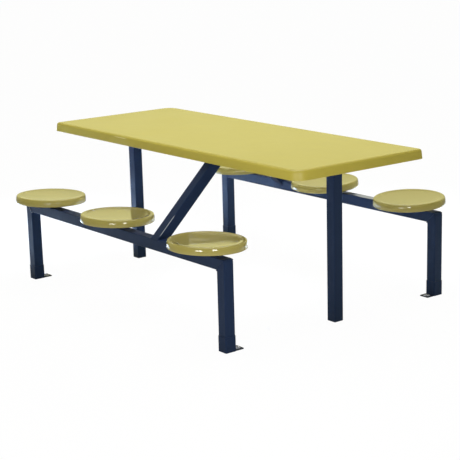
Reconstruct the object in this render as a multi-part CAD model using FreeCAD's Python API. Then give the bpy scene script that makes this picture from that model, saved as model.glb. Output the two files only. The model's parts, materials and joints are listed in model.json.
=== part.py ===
import FreeCAD, Part
import math
import os

# A canteen table built in one with its seats: a moulded top stands on two posts, and along each
# long side a low steel frame carries three round swivel seats. A sloping brace ties each seat frame
# to the rails under the top. Sizes are in millimetres, +Z is up and the origin lies on the floor
# under the middle of the top. X runs along the table and the front row of seats is at -Y. The table
# looks the same after half a turn about Z, so each rear piece is a front piece turned round.

# Moulded top, with the board that stiffens it
TOP_LENGTH = 1920.0
TOP_WIDTH = 743.0
TOP_HEIGHT = 750.0
TOP_RIM_DEPTH = 43.0
TOP_RIM_DRAFT = 5.0
TOP_CORNER_RADIUS = 50.0
TOP_EDGE_RADIUS = 12.0
TOP_SKIN = 5.0
TOP_BOARD = 12.0
TOP_BOARD_CLEARANCE = 1.0

# Flat tube of the rails under the top
RAIL_WIDTH = 50.0
RAIL_HEIGHT = 25.0
RAIL_WALL = 2.0
RAIL_CORNER = 2.5
RAIL_INSET = 44.5

# Square tube of the posts, braces and seat frames
TUBE = 50.0
TUBE_WALL = 2.0
TUBE_CORNER = 3.0
POST_INSET = 186.0
BRACE_OFFSET = 312.0
SEAT_FRAME_INSET = 149.0
SEAT_FRAME_SETBACK = 248.5
FRAME_BEND_OUTER = 14.0
FRAME_BEND_INNER = 8.0

# Feet
ANCHOR_PLATE = 4.0
ANCHOR_REACH = 45.0
ANCHOR_CORNER = 4.0
ANCHOR_HOLE = 12.0
ANCHOR_HOLE_EDGE = 20.0
SLEEVE_WALL = 2.0
SLEEVE_HEIGHT = 68.0
SLEEVE_CLEARANCE = 0.2
PLUG_FLANGE = 3.0
PLUG_SPIGOT = 22.0
PLUG_CLEARANCE = 0.2

# Seats
SEAT_DIAMETER = 343.0
SEAT_HEIGHT = 451.0
SEAT_RIM_DEPTH = 31.0
SEAT_RIM_LEAN = 3.0
SEAT_WALL = 5.0
SEAT_LIP_RADIUS = 11.0
SEAT_SKIRT_RADIUS = 4.0
SEAT_DISH_DEPTH = 4.0
SEAT_DISH_SLOPE = 36.0
SEAT_PITCH = 2.2
SEAT_INBOARD = 20.0
MIDDLE_SEAT_SHIFT = 44.0

# Swivel under each seat
BASE_DIAMETER = 120.0
BASE_THICKNESS = 5.0
STUD_DIAMETER = 16.0
STUD_TIP = 1.6
STUD_HEADROOM = 11.0
SLIP_RING_THICKNESS = 3.0
SLIP_RING_MARGIN = 4.0
SLIP_RING_BORE = 40.0
PIVOT_SLEEVE_WALL = 3.0
CARRIER_THICKNESS = 5.0
CARRIER_EDGE = 4.0
SWEEP_CLEARANCE = 5.0
THRUST_CLEARANCE = 0.1
END_FLOAT = 0.3
RUNNING_CLEARANCE = 0.05
WASHER_DIAMETER = 36.0
WASHER_THICKNESS = 3.0
NUT_ACROSS_FLATS = 24.0
NUT_HEIGHT = 13.0
SEAT_BLOCK_MARGIN = 4.0
SEAT_BLOCK_BORE_CLEARANCE = 4.0

# Screws: those under each seat, and those that hold the top to its rails
SEAT_SCREW_COUNT = 4
SEAT_SCREW_DIAMETER = 6.0
SEAT_SCREW_HEAD_DIAMETER = 11.0
SEAT_SCREW_HEAD_HEIGHT = 3.3
SEAT_SCREW_COVER = 6.0
TOP_SCREW_COUNT = 5
TOP_SCREW_DIAMETER = 5.0
TOP_SCREW_HEAD_DIAMETER = 9.5
TOP_SCREW_HEAD_HEIGHT = 3.5
TOP_SCREW_COVER = 2.0
TOP_SCREW_END_INSET = 110.0
SCREW_HOLE_CLEARANCE = 0.4
SCREW_ACCESS_CLEARANCE = 1.5
PILOT_CLEARANCE = 0.05

# Spare length of the bodies that are cut away
OVERRUN = 10.0

# Heights that follow from the stack of pieces
rim_bottom_z = TOP_HEIGHT - TOP_RIM_DEPTH
board_top_z = TOP_HEIGHT - TOP_SKIN
rail_top_z = board_top_z - TOP_BOARD
rail_middle_z = rail_top_z - RAIL_HEIGHT / 2
rail_bottom_z = rail_top_z - RAIL_HEIGHT
seat_block_thickness = END_FLOAT + WASHER_THICKNESS + NUT_HEIGHT + STUD_TIP + STUD_HEADROOM
seat_block_top_z = SEAT_HEIGHT - SEAT_DISH_DEPTH - SEAT_WALL
carrier_top_z = seat_block_top_z - seat_block_thickness
carrier_bottom_z = carrier_top_z - CARRIER_THICKNESS
slip_ring_top_z = carrier_bottom_z - THRUST_CLEARANCE
base_top_z = slip_ring_top_z - SLIP_RING_THICKNESS
beam_top_z = base_top_z - BASE_THICKNESS
washer_bottom_z = carrier_top_z + END_FLOAT
nut_bottom_z = washer_bottom_z + WASHER_THICKNESS
stud_top_z = nut_bottom_z + NUT_HEIGHT + STUD_TIP

# Places that follow from the top's outline
post_x = TOP_LENGTH / 2 - POST_INSET
frame_half_length = TOP_LENGTH / 2 - SEAT_FRAME_INSET
leg_x = frame_half_length - TUBE / 2
beam_y = TOP_WIDTH / 2 + SEAT_FRAME_SETBACK
beam_inner_y = beam_y - TUBE / 2
beam_outer_y = beam_y + TUBE / 2
rail_outer_y = TOP_WIDTH / 2 - RAIL_INSET
rail_inner_y = rail_outer_y - RAIL_WIDTH
rail_y = rail_outer_y - RAIL_WIDTH / 2
rail_half_length = post_x + RAIL_WIDTH / 2
seat_y = beam_y - SEAT_INBOARD
outer_seat_x = frame_half_length - SEAT_DIAMETER / 2

# Radii of the swivel, each outside the one before it
base_radius = BASE_DIAMETER / 2
stud_radius = STUD_DIAMETER / 2
pivot_sleeve_radius = stud_radius + RUNNING_CLEARANCE + PIVOT_SLEEVE_WALL
seat_screw_circle = base_radius + SWEEP_CLEARANCE + SEAT_SCREW_HEAD_DIAMETER / 2
carrier_radius = seat_screw_circle + SEAT_SCREW_HEAD_DIAMETER / 2 + CARRIER_EDGE
seat_block_radius = carrier_radius + SEAT_BLOCK_MARGIN
seat_block_bore = WASHER_DIAMETER / 2 + SEAT_BLOCK_BORE_CLEARANCE

X_AXIS = FreeCAD.Vector(1, 0, 0)
Y_AXIS = FreeCAD.Vector(0, 1, 0)
Z_AXIS = FreeCAD.Vector(0, 0, 1)
ORIGIN = FreeCAD.Vector(0, 0, 0)


def rounded_outline(corners, radii):
    """Closed wire through flat corner points, each corner rounded to its own radius."""
    count = len(corners)
    starts = []
    edges = []
    for i in range(count):
        here = corners[i]
        back = (corners[i - 1] - here).normalize()
        ahead = (corners[(i + 1) % count] - here).normalize()
        if radii[i] <= 0:
            starts.append((here, here))
            continue
        half_angle = back.getAngle(ahead) / 2
        reach = radii[i] / math.tan(half_angle)
        middle_line = (back + ahead).normalize()
        to_arc = radii[i] / math.sin(half_angle) - radii[i]
        first = here + back * reach
        last = here + ahead * reach
        edges.append(Part.Arc(first, here + middle_line * to_arc, last).toShape())
        starts.append((first, last))
    for i in range(count):
        edges.append(Part.makeLine(starts[i][1], starts[(i + 1) % count][0]))
    return Part.Wire(Part.__sortEdges__(edges))


def rectangle(size_x, size_y, radius, z):
    """Rounded rectangle centred on the Z axis at height z."""
    x = size_x / 2
    y = size_y / 2
    corners = [FreeCAD.Vector(a, b, z) for a, b in ((-x, -y), (x, -y), (x, y), (-x, y))]
    return rounded_outline(corners, [radius] * len(corners))


def slab(size_x, size_y, radius, bottom_z, top_z):
    """Upright block with rounded corners, centred on the Z axis."""
    return Part.Face(rectangle(size_x, size_y, radius, bottom_z)).extrude(Z_AXIS * (top_z - bottom_z))


def cylinder(radius, bottom_z, top_z):
    """Upright round bar on the Z axis."""
    return Part.makeCylinder(radius, top_z - bottom_z, Z_AXIS * bottom_z, Z_AXIS)


def ring(outer_radius, inner_radius, bottom_z, top_z):
    """Upright tube or washer on the Z axis."""
    return cylinder(outer_radius, bottom_z, top_z).cut(cylinder(inner_radius, bottom_z, top_z))


def hollow_tube(size_x, size_y, wall, corner, bottom_z, top_z):
    """Upright hollow tube of rounded rectangular section."""
    inner_corner = max(corner - wall, 0.0)
    inside = slab(size_x - 2 * wall, size_y - 2 * wall, inner_corner, bottom_z, top_z)
    return slab(size_x, size_y, corner, bottom_z, top_z).cut(inside)


def moved(shape, x, y, z=0.0):
    """Copy of a shape carried to a new place."""
    result = shape.copy()
    result.translate(FreeCAD.Vector(x, y, z))
    return result


def turned(shape):
    """Copy of a front piece turned half a turn about Z to its place at the rear."""
    result = shape.copy()
    result.rotate(ORIGIN, Z_AXIS, 180)
    return result


def placed(shape, x, y):
    """Copy of a seat piece in its place, leaning by SEAT_PITCH degrees from the beam towards the table."""
    result = shape.copy()
    result.rotate(Z_AXIS * beam_top_z, X_AXIS, math.copysign(SEAT_PITCH, y))
    return moved(result, x, y)


def on_circle(shape, radius, count):
    """Copies of a shape spread evenly round a circle about the Z axis, off the X and Y directions."""
    copies = []
    for i in range(count):
        angle = 2 * math.pi * (i + 0.5) / count
        copies.append(moved(shape, radius * math.cos(angle), radius * math.sin(angle)))
    return copies


def drafted_block(inset, top_z, edge_radius):
    """Block under the top's outline, inset all round, that leans in with the rim up to top_z."""
    levels = []
    for z in (rim_bottom_z, top_z):
        lean = inset + TOP_RIM_DRAFT * (z - rim_bottom_z) / TOP_RIM_DEPTH
        size_x = TOP_LENGTH - 2 * lean
        size_y = TOP_WIDTH - 2 * lean
        levels.append(rectangle(size_x, size_y, TOP_CORNER_RADIUS - lean, z))
    block = Part.makeLoft(levels, True, True)
    upper = [e for e in block.Edges if e.BoundBox.ZMin > top_z - RUNNING_CLEARANCE]
    return block.makeFillet(edge_radius, upper)


def tabletop_shell():
    """Moulded skin of the top: a flat deck with a rim turned down all round."""
    cavity = drafted_block(TOP_SKIN, board_top_z, TOP_EDGE_RADIUS - TOP_SKIN)
    return drafted_block(0.0, TOP_HEIGHT, TOP_EDGE_RADIUS).cut(cavity)


def top_screw_places():
    """Plan places of the screws that hold the board down, along both long rails."""
    first = rail_half_length - TOP_SCREW_END_INSET
    step = 2 * first / (TOP_SCREW_COUNT - 1)
    return [(-first + step * i, side * rail_y) for side in (-1, 1) for i in range(TOP_SCREW_COUNT)]


def top_board():
    """Board bonded under the deck of the top, which takes the screws of the rails."""
    lean = TOP_SKIN + TOP_RIM_DRAFT * (board_top_z - rim_bottom_z) / TOP_RIM_DEPTH
    inset = lean + TOP_EDGE_RADIUS - TOP_SKIN + TOP_BOARD_CLEARANCE
    corner = max(TOP_CORNER_RADIUS - inset, 0.0)
    board = slab(TOP_LENGTH - 2 * inset, TOP_WIDTH - 2 * inset, corner, rail_top_z, board_top_z)
    pilot = cylinder(TOP_SCREW_DIAMETER / 2 + PILOT_CLEARANCE, rail_top_z, board_top_z - TOP_SCREW_COVER)
    return board.cut([moved(pilot, x, y) for x, y in top_screw_places()])


def top_screws():
    """Screws inside the long rails, with their heads on the rails' upper wall."""
    seat_z = rail_top_z - RAIL_WALL
    head = cylinder(TOP_SCREW_HEAD_DIAMETER / 2, seat_z - TOP_SCREW_HEAD_HEIGHT, seat_z)
    screw = head.fuse(cylinder(TOP_SCREW_DIAMETER / 2, seat_z, board_top_z - TOP_SCREW_COVER))
    return Part.makeCompound([moved(screw, x, y) for x, y in top_screw_places()])


def long_rail(side):
    """Flat tube along the table, with a hole for each screw and a wider one for the driver below it."""
    rail = hollow_tube(RAIL_HEIGHT, RAIL_WIDTH, RAIL_WALL, RAIL_CORNER, -rail_half_length, rail_half_length)
    rail.rotate(ORIGIN, Y_AXIS, 90)
    rail.translate(FreeCAD.Vector(0, side * rail_y, rail_middle_z))
    hole = cylinder(TOP_SCREW_DIAMETER / 2 + SCREW_HOLE_CLEARANCE, rail_middle_z, rail_top_z)
    access = cylinder(TOP_SCREW_HEAD_DIAMETER / 2 + SCREW_ACCESS_CLEARANCE, rail_bottom_z, rail_middle_z)
    drill = hole.fuse(access)
    return rail.cut([moved(drill, x, y) for x, y in top_screw_places() if y * side > 0])


def cross_rail(x):
    """Flat tube across the table, welded between the long rails."""
    rail = hollow_tube(RAIL_WIDTH, RAIL_HEIGHT, RAIL_WALL, RAIL_CORNER, -rail_inner_y, rail_inner_y)
    rail.rotate(ORIGIN, X_AXIS, 90)
    return moved(rail, x, 0, rail_middle_z)


def post(x):
    """Upright tube from its floor plug to the cross rail above it."""
    return moved(hollow_tube(TUBE, TUBE, TUBE_WALL, TUBE_CORNER, PLUG_FLANGE, rail_bottom_z), x, 0)


def post_plugs():
    """Plastic plugs in the lower ends of the posts."""
    spigot_size = TUBE - 2 * TUBE_WALL - 2 * PLUG_CLEARANCE
    spigot = slab(spigot_size, spigot_size, TUBE_CORNER, PLUG_FLANGE, PLUG_FLANGE + PLUG_SPIGOT)
    plug = slab(TUBE, TUBE, TUBE_CORNER, 0.0, PLUG_FLANGE).fuse(spigot)
    return Part.makeCompound([moved(plug, side * post_x, 0) for side in (-1, 1)])


def front_brace():
    """Sloping tube from the outer top edge of the seat beam to the outer edge of the long rail.

    Its foot sits on the beam and reaches down the beam's inner face.
    """
    foot = FreeCAD.Vector(0, -beam_outer_y, beam_top_z)
    head = FreeCAD.Vector(0, -rail_outer_y, rail_bottom_z)
    along = (head - foot).normalize()
    inward = FreeCAD.Vector(0, along.z, -along.y)
    under = foot + inward * TUBE
    head_inner = under + along * ((rail_bottom_z - under.z) / along.z)
    foot_inner = under + along * ((-beam_inner_y - under.y) / along.y)
    beam_edge = FreeCAD.Vector(0, -beam_inner_y, beam_top_z)
    side = Part.Face(Part.makePolygon([foot, head, head_inner, foot_inner, beam_edge, foot]))
    bar = moved(side, -TUBE / 2, 0).extrude(X_AXIS * TUBE)
    long_edges = []
    for edge in bar.Edges:
        direction = (edge.Vertexes[1].Point - edge.Vertexes[0].Point).normalize()
        if abs(direction.dot(along)) > math.cos(math.radians(1)):
            long_edges.append(edge)
    bar = bar.makeFillet(TUBE_CORNER, long_edges)
    low = along * -(TUBE + OVERRUN)
    high = along * ((head - foot).Length + TUBE + OVERRUN)
    near = foot + inward * TUBE_WALL
    far = foot + inward * (TUBE - TUBE_WALL)
    inside = Part.Face(Part.makePolygon([near + low, near + high, far + high, far + low, near + low]))
    half_bore = TUBE / 2 - TUBE_WALL
    bore = moved(inside, -half_bore, 0).extrude(X_AXIS * 2 * half_bore)
    return moved(bar.cut(bore), BRACE_OFFSET, 0)


def seat_frame_body(shrink, depth):
    """Inverted U of a seat frame about y = 0, its faces drawn in by shrink, depth across."""
    out_x = frame_half_length - shrink
    in_x = frame_half_length - TUBE + shrink
    high_z = beam_top_z - shrink
    low_z = beam_top_z - TUBE + shrink
    plan = [(-out_x, ANCHOR_PLATE), (-out_x, high_z), (out_x, high_z), (out_x, ANCHOR_PLATE)]
    plan += [(in_x, ANCHOR_PLATE), (in_x, low_z), (-in_x, low_z), (-in_x, ANCHOR_PLATE)]
    outer_bend = FRAME_BEND_OUTER - shrink
    inner_bend = FRAME_BEND_INNER + shrink
    bends = [0, outer_bend, outer_bend, 0, 0, inner_bend, inner_bend, 0]
    corners = [FreeCAD.Vector(x, -depth / 2, z) for x, z in plan]
    return Part.Face(rounded_outline(corners, bends)).extrude(Y_AXIS * depth)


def front_seat_frame():
    """Hollow inverted U cut on its mitres, as the beam, the left leg and the right leg."""
    solid = seat_frame_body(0.0, TUBE)
    edges = [e for e in solid.Edges if abs(e.BoundBox.YMax - e.BoundBox.YMin) < TUBE_WALL]
    edges = [e for e in edges if e.BoundBox.ZMax > ANCHOR_PLATE + TUBE_WALL]
    solid = solid.makeFillet(TUBE_CORNER, edges)
    frame = solid.cut(seat_frame_body(TUBE_WALL, TUBE - 2 * TUBE_WALL))
    below = ANCHOR_PLATE - OVERRUN
    outer_x = frame_half_length + OVERRUN
    inner_x = frame_half_length - TUBE - OVERRUN
    mitre = [(outer_x, beam_top_z + OVERRUN), (inner_x, beam_top_z - TUBE - OVERRUN)]
    plan = mitre + [(inner_x, below), (outer_x, below), mitre[0]]
    depth = TUBE + 2 * OVERRUN
    cutter = Part.Face(Part.makePolygon([FreeCAD.Vector(x, -depth / 2, z) for x, z in plan]))
    right_side = cutter.extrude(Y_AXIS * depth)
    left_side = turned(right_side)
    pieces = (frame.cut([left_side, right_side]), frame.common(left_side), frame.common(right_side))
    return [moved(piece, 0, -beam_y) for piece in pieces]


def front_anchor_plate(side):
    """Foot plate under a leg, reaching inwards with a hole for a floor bolt."""
    length = TUBE + ANCHOR_REACH
    plate = slab(TUBE, length, ANCHOR_CORNER, 0.0, ANCHOR_PLATE)
    hole_y = length / 2 - ANCHOR_HOLE_EDGE
    plate = plate.cut(moved(cylinder(ANCHOR_HOLE / 2, 0.0, ANCHOR_PLATE), 0, hole_y))
    return moved(plate, side * leg_x, -beam_outer_y + length / 2)


def front_foot_sleeve(side):
    """Plastic sleeve over the foot of a leg, open on the inner side for the anchor plate."""
    bore = TUBE + 2 * SLEEVE_CLEARANCE
    width = bore + 2 * SLEEVE_WALL
    corner = TUBE_CORNER + SLEEVE_CLEARANCE + SLEEVE_WALL
    sleeve = hollow_tube(width, width, SLEEVE_WALL, corner, 0.0, SLEEVE_HEIGHT)
    slot = Part.makeBox(bore, width, ANCHOR_PLATE + SLEEVE_CLEARANCE, FreeCAD.Vector(-bore / 2, 0, 0))
    return moved(sleeve.cut(slot), side * leg_x, -beam_y)


def seat_shell():
    """Moulded seat: a dished deck with a rounded lip and a skirt, turned about its swivel axis.

    The skirt leans outwards by SEAT_RIM_LEAN degrees, so that the seat comes out of its mould.
    """

    def point(r, z):
        return FreeCAD.Vector(r, 0, z)

    def about(centre, size, angle):
        return centre + point(size * math.sin(angle), size * math.cos(angle))

    def arc(centre, size, first, last):
        ends = [about(centre, size, a) for a in (first, (first + last) / 2, last)]
        return Part.Arc(*ends).toShape()

    bottom = SEAT_HEIGHT - SEAT_RIM_DEPTH
    floor_z = SEAT_HEIGHT - SEAT_DISH_DEPTH
    lean = math.radians(SEAT_RIM_LEAN)
    side = math.pi / 2 - lean
    skirt = point(SEAT_DIAMETER / 2 - SEAT_SKIRT_RADIUS, bottom + SEAT_SKIRT_RADIUS)
    skirt_start = about(skirt, SEAT_SKIRT_RADIUS, side)
    lip_z = SEAT_HEIGHT - SEAT_LIP_RADIUS
    lip_end_z = lip_z + SEAT_LIP_RADIUS * math.sin(lean)
    lip_end_r = skirt_start.x - (lip_end_z - skirt_start.z) * math.tan(lean)
    lip = point(lip_end_r - SEAT_LIP_RADIUS * math.cos(lean), lip_z)
    lip_wall = SEAT_LIP_RADIUS - SEAT_WALL
    inner_end = about(lip, lip_wall, side)
    inner_foot = point(inner_end.x + (inner_end.z - bottom) * math.tan(lean), bottom)
    floor_r = lip.x - SEAT_DISH_SLOPE
    bend = (SEAT_DISH_SLOPE ** 2 + SEAT_DISH_DEPTH ** 2) / (4 * SEAT_DISH_DEPTH)
    turn = 2 * math.atan(SEAT_DISH_DEPTH / SEAT_DISH_SLOPE)
    crest = point(lip.x, SEAT_HEIGHT - bend)
    trough = point(floor_r, floor_z + bend)
    edges = [
        Part.makeLine(point(0, floor_z), point(floor_r, floor_z)),
        arc(trough, bend, math.pi, math.pi - turn),
        arc(crest, bend, -turn, 0.0),
        arc(lip, SEAT_LIP_RADIUS, 0.0, side),
        Part.makeLine(point(lip_end_r, lip_end_z), skirt_start),
        arc(skirt, SEAT_SKIRT_RADIUS, side, math.pi),
        Part.makeLine(point(skirt.x, bottom), inner_foot),
        Part.makeLine(inner_foot, inner_end),
        arc(lip, lip_wall, side, 0.0),
        arc(crest, bend - SEAT_WALL, 0.0, -turn),
        arc(trough, bend + SEAT_WALL, math.pi - turn, math.pi),
        Part.makeLine(point(floor_r, seat_block_top_z), point(0, seat_block_top_z)),
        Part.makeLine(point(0, seat_block_top_z), point(0, floor_z)),
    ]
    return Part.Face(Part.Wire(edges)).revolve(ORIGIN, Z_AXIS, 360)


def seat_block():
    """Wooden block moulded under the seat, bored for the pivot nut and for the screws."""
    block = ring(seat_block_radius, seat_block_bore, carrier_top_z, seat_block_top_z)
    pilot_radius = SEAT_SCREW_DIAMETER / 2 + PILOT_CLEARANCE
    pilot = cylinder(pilot_radius, carrier_top_z, seat_block_top_z - SEAT_SCREW_COVER)
    return block.cut(on_circle(pilot, seat_screw_circle, SEAT_SCREW_COUNT))


def seat_carrier():
    """Round plate screwed under the block, which turns on the pivot sleeve."""
    plate = ring(carrier_radius, pivot_sleeve_radius + RUNNING_CLEARANCE, carrier_bottom_z, carrier_top_z)
    hole = cylinder(SEAT_SCREW_DIAMETER / 2 + SCREW_HOLE_CLEARANCE, carrier_bottom_z, carrier_top_z)
    return plate.cut(on_circle(hole, seat_screw_circle, SEAT_SCREW_COUNT))


def seat_screws():
    """Screws up through the carrier plate into the block."""
    head = cylinder(SEAT_SCREW_HEAD_DIAMETER / 2, carrier_bottom_z - SEAT_SCREW_HEAD_HEIGHT, carrier_bottom_z)
    shank = cylinder(SEAT_SCREW_DIAMETER / 2, carrier_bottom_z, seat_block_top_z - SEAT_SCREW_COVER)
    return Part.makeCompound(on_circle(head.fuse(shank), seat_screw_circle, SEAT_SCREW_COUNT))


def swivel_base(x, y):
    """Wedge-cut round plate welded across the beam, with the pivot stud square to its upper face."""
    plate = cylinder(base_radius, beam_top_z - OVERRUN, base_top_z)
    stud = cylinder(stud_radius, beam_top_z, stud_top_z)
    base = placed(plate.fuse(stud).removeSplitter(), x, y)
    size = BASE_DIAMETER + 2 * OVERRUN
    below = slab(size, size, 0.0, beam_top_z - 2 * OVERRUN, beam_top_z)
    return base.cut(moved(below, x, y))


def slip_ring():
    """Plastic ring between the base plate and the carrier plate."""
    return ring(base_radius - SLIP_RING_MARGIN, SLIP_RING_BORE / 2, base_top_z, slip_ring_top_z)


def pivot_sleeve():
    """Bronze sleeve on the stud, held by the nut, on which the carrier plate turns."""
    return ring(pivot_sleeve_radius, stud_radius + RUNNING_CLEARANCE, base_top_z, washer_bottom_z)


def pivot_washer():
    """Washer on the pivot sleeve, over the carrier plate."""
    return ring(WASHER_DIAMETER / 2, stud_radius + SCREW_HOLE_CLEARANCE, washer_bottom_z, nut_bottom_z)


def pivot_nut():
    """Hexagon nut on the stud."""
    corner_radius = NUT_ACROSS_FLATS / math.sqrt(3)
    corners = []
    for i in range(7):
        angle = math.radians(60 * i)
        corners.append(FreeCAD.Vector(math.cos(angle), math.sin(angle), 0) * corner_radius)
    hexagon = Part.Face(Part.makePolygon(corners)).extrude(Z_AXIS * NUT_HEIGHT)
    hexagon.translate(Z_AXIS * nut_bottom_z)
    return hexagon.cut(cylinder(stud_radius + RUNNING_CLEARANCE, nut_bottom_z, nut_bottom_z + NUT_HEIGHT))


def seat_places():
    """Name and plan place of each seat's swivel axis."""
    row = {"left": -outer_seat_x, "middle": -MIDDLE_SEAT_SHIFT, "right": outer_seat_x}
    opposite = {"left": "right", "middle": "middle", "right": "left"}
    places = {}
    for name, x in row.items():
        places["front_" + name] = (x, -seat_y)
        places["rear_" + opposite[name]] = (-x, seat_y)
    return places


def build():
    """Every piece of the table, by the name of its node."""
    beam, left_leg, right_leg = front_seat_frame()
    nodes = {
        "tabletop_shell": tabletop_shell(),
        "tabletop_board": top_board(),
        "tabletop_screws": top_screws(),
        "long_rail_front": long_rail(-1),
        "long_rail_rear": long_rail(1),
        "cross_rail_left_post": cross_rail(-post_x),
        "cross_rail_rear_brace": cross_rail(-BRACE_OFFSET),
        "cross_rail_front_brace": cross_rail(BRACE_OFFSET),
        "cross_rail_right_post": cross_rail(post_x),
        "post_left": post(-post_x),
        "post_right": post(post_x),
        "post_plugs": post_plugs(),
        "brace_front": front_brace(),
        "brace_rear": turned(front_brace()),
        "seat_beam_front": beam,
        "seat_beam_rear": turned(beam),
        "seat_leg_front_left": left_leg,
        "seat_leg_front_right": right_leg,
        "seat_leg_rear_right": turned(left_leg),
        "seat_leg_rear_left": turned(right_leg),
        "anchor_plate_front_left": front_anchor_plate(-1),
        "anchor_plate_front_right": front_anchor_plate(1),
        "anchor_plate_rear_right": turned(front_anchor_plate(-1)),
        "anchor_plate_rear_left": turned(front_anchor_plate(1)),
    }
    sleeves = [front_foot_sleeve(side) for side in (-1, 1)]
    nodes["foot_sleeves"] = Part.makeCompound(sleeves + [turned(sleeve) for sleeve in sleeves])
    places = seat_places()
    for name, (x, y) in places.items():
        nodes["seat_shell_" + name] = placed(seat_shell(), x, y)
        nodes["seat_block_" + name] = placed(seat_block(), x, y)
        nodes["seat_carrier_" + name] = placed(seat_carrier(), x, y)
        nodes["seat_screws_" + name] = placed(seat_screws(), x, y)
        nodes["swivel_base_" + name] = swivel_base(x, y)
    shared = {
        "slip_rings": slip_ring(),
        "pivot_sleeves": pivot_sleeve(),
        "pivot_washers": pivot_washer(),
        "pivot_nuts": pivot_nut(),
    }
    for name, piece in shared.items():
        nodes[name] = Part.makeCompound([placed(piece, x, y) for x, y in places.values()])
    return nodes


os.makedirs("parts", exist_ok=True)
for node, shape in build().items():
    shape.exportStep("parts/" + node + ".step")
    print(node, "solids", len(shape.Solids), "volume_cm3", round(shape.Volume / 1000, 2))
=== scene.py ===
# %% [markdown]
# # A canteen table with six swivel seats
#
# The real table is a welded frame of square steel tube, painted navy, that carries a moulded yellow
# top and six round moulded seats. Each seat turns on a pivot that stands on a low beam. The measured
# model is loaded first and stays as it is. This lesson dresses it: it rebuilds the mouldings as
# smooth meshes, adds the weld beads, and mixes a finish for every surface. Lengths are in metres.

# %% Load the measured model
import json
import math

import bmesh
import bpy
from mathutils import Matrix, Vector


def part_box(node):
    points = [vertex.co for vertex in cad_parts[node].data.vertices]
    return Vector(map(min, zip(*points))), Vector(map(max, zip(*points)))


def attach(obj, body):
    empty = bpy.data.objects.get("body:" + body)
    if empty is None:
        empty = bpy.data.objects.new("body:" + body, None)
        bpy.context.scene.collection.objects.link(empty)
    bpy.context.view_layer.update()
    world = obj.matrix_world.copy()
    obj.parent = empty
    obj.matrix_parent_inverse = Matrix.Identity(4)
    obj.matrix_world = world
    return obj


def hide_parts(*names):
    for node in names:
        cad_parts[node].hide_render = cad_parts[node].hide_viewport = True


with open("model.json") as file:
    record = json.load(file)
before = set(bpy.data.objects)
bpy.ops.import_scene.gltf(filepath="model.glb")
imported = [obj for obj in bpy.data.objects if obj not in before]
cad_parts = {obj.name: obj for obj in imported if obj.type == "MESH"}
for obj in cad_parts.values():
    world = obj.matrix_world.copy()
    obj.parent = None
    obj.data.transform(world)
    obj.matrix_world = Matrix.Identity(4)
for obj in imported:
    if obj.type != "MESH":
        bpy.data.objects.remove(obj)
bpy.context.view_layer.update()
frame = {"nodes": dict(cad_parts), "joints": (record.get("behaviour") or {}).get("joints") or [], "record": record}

# %% [markdown]
# ## Helpers for meshes
#
# Every shape here is a loft: rings of points, all with the same number of points, joined by bands of
# four-sided faces. A moulded top, a turned seat and a weld bead differ only in how their rings are
# placed, so one function joins them all. Rings that follow a real profile keep each rounded edge a
# true arc, which catches light in one clean line. A bevel on a box would only come near to that.

# %% Join rings into a mesh
def loft(rings, loop=False):
    """Points and faces of the bands between rings; in a loop the last ring joins the first."""
    size = len(rings[0])
    points = [point for ring in rings for point in ring]
    faces = []
    for i in range(len(rings) if loop else len(rings) - 1):
        here = i * size
        ahead = (i + 1) % len(rings) * size
        for k in range(size):
            after = (k + 1) % size
            faces.append((here + k, here + after, ahead + after, ahead + k))
    return points, faces


# %% Add a piece to the scene
def add_piece(name, points, faces, body, materials, backs=()):
    """New mesh object that moves with a body and takes the finishes it is given.

    The faces that backs counts out take the second material.
    """
    mesh = bpy.data.meshes.new(name)
    mesh.from_pydata(points, [], faces)
    shape = bmesh.new()
    shape.from_mesh(mesh)
    bmesh.ops.recalc_face_normals(shape, faces=shape.faces)
    shape.to_mesh(mesh)
    shape.free()
    mesh.polygons.foreach_set("use_smooth", [True] * len(mesh.polygons))
    for material in materials:
        mesh.materials.append(material)
    for i in backs:
        mesh.polygons[i].material_index = 1
    piece = bpy.data.objects.new(name, mesh)
    bpy.context.scene.collection.objects.link(piece)
    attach(piece, body)
    print("piece", name, len(mesh.polygons), "faces on", body)
    return piece


# %% Arc of a profile
def arc(centre, radius, first, last, steps):
    """Points of an arc in a profile; an angle is measured from straight out towards straight up."""
    angles = [first + (last - first) * i / steps for i in range(steps + 1)]
    return [(centre[0] + radius * math.cos(a), centre[1] + radius * math.sin(a)) for a in angles]


# %% [markdown]
# ## Helpers for materials
#
# A finish is a small network of shader nodes. The helper below adds one node and either writes a
# plain value on an input or links another node's output to it. That keeps each recipe readable from
# top to bottom, in the order in which the effects lie on the real surface.

# %% Add a shader node
def node(tree, kind, inputs=None, **settings):
    """New shader node; an input is a plain value or the output of another node."""
    made = tree.nodes.new("ShaderNode" + kind)
    for key, value in settings.items():
        setattr(made, key, value)
    for key, value in (inputs or {}).items():
        if isinstance(value, bpy.types.NodeSocket):
            tree.links.new(value, made.inputs[key])
        else:
            made.inputs[key].default_value = value
    return made


# %% Make and place a node group
def new_group(name, inputs, outputs):
    """Empty node group with named sockets, with its input and output nodes."""
    tree = bpy.data.node_groups.new(name, "ShaderNodeTree")
    kinds = {"value": "NodeSocketFloat", "colour": "NodeSocketColor", "vector": "NodeSocketVector"}
    for socket, kind in inputs.items():
        tree.interface.new_socket(socket, in_out="INPUT", socket_type=kinds[kind])
    for socket, kind in outputs.items():
        tree.interface.new_socket(socket, in_out="OUTPUT", socket_type=kinds[kind])
    return tree, tree.nodes.new("NodeGroupInput").outputs, tree.nodes.new("NodeGroupOutput").inputs


def place(tree, group, inputs):
    """Outputs of a node group that is placed in a material with its own values."""
    return node(tree, "Group", inputs, node_tree=group).outputs


# %% [markdown]
# ## Effects shared by several finishes
#
# Moulded plastic, paint and wood all vary a little in tone from place to place, all have a fine skin
# that breaks up reflections, and all pick up dust and scuffs. Each of these is a node group that is
# built once and placed in a material with its own scale and strength.

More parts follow.
